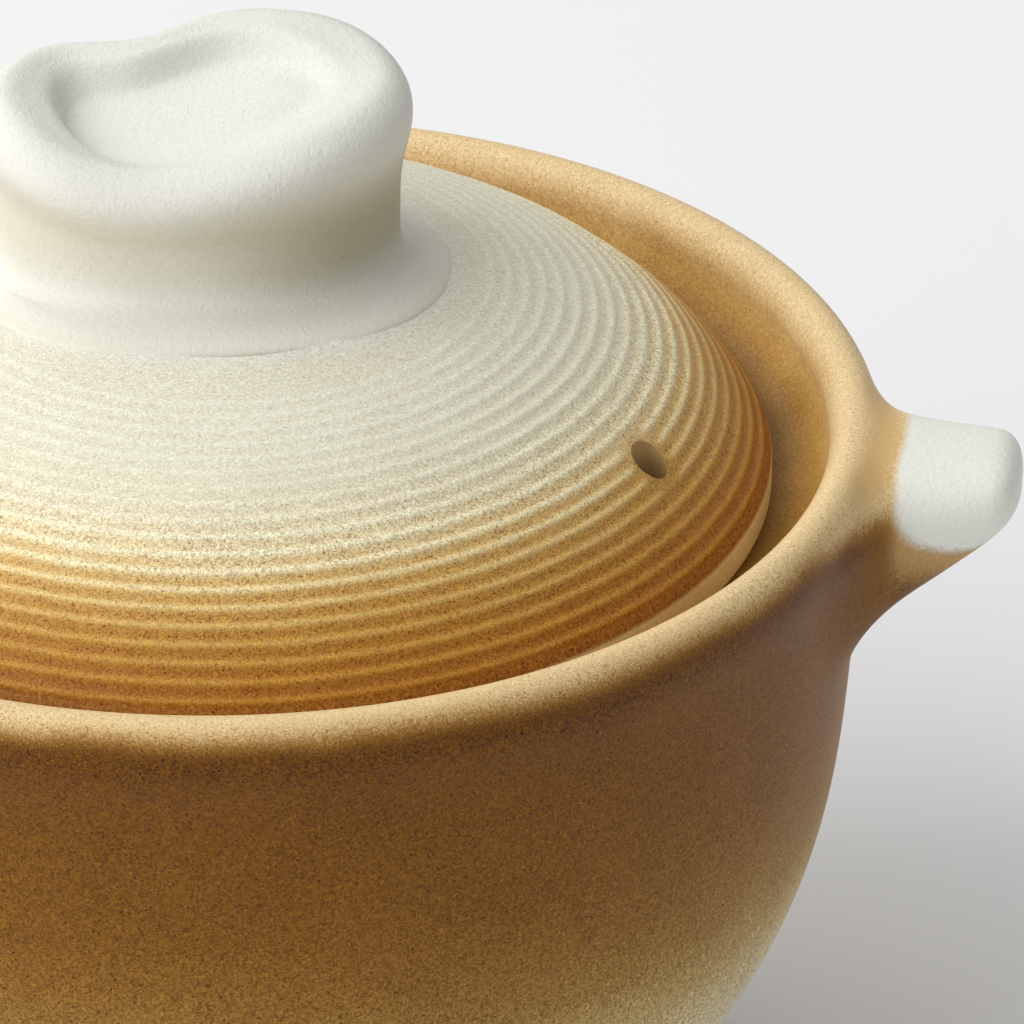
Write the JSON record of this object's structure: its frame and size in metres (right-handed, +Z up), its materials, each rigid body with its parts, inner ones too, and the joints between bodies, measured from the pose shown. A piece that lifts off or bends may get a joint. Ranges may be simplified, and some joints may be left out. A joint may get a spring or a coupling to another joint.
{
  "type": "donabe clay pot",
  "caption": "Deep round stoneware rice pot with two lug ears, and a ridged dome lid with a vent and a hand-pressed knob.",
  "frame": {"origin": "middle of the foot ring, on the surface that the pot stands on", "axes": "+Z is up; the two ears lie along X; the knob's long side is turned 6 degrees from X"},
  "size_m": [0.239, 0.197, 0.1847],
  "materials": {
    "pot_glaze": "satin brown glaze over stoneware, amber and cream towards the foot",
    "ear_glaze": "matte off-white glaze with a brown root",
    "lid_glaze": "satin glaze fading from cream at the crown to amber brown at the edge",
    "knob_glaze": "matte eggshell off-white glaze"
  },
  "bodies": {
    "pot": {"pot_floor": "pot_glaze", "pot_lower_wall": "pot_glaze", "pot_wall": "pot_glaze", "pot_ledge": "pot_glaze", "pot_rim": "pot_glaze", "ear_right": "ear_glaze", "ear_left": "ear_glaze"},
    "lid": {"lid": "lid_glaze", "lid_knob": "knob_glaze"}
  },
  "joints": [
    {"name": "lid_lift", "type": "slide", "parent": "pot", "child": "lid", "axis": [0, 0, 1], "range_m": [0, 0.1]}
  ]
}
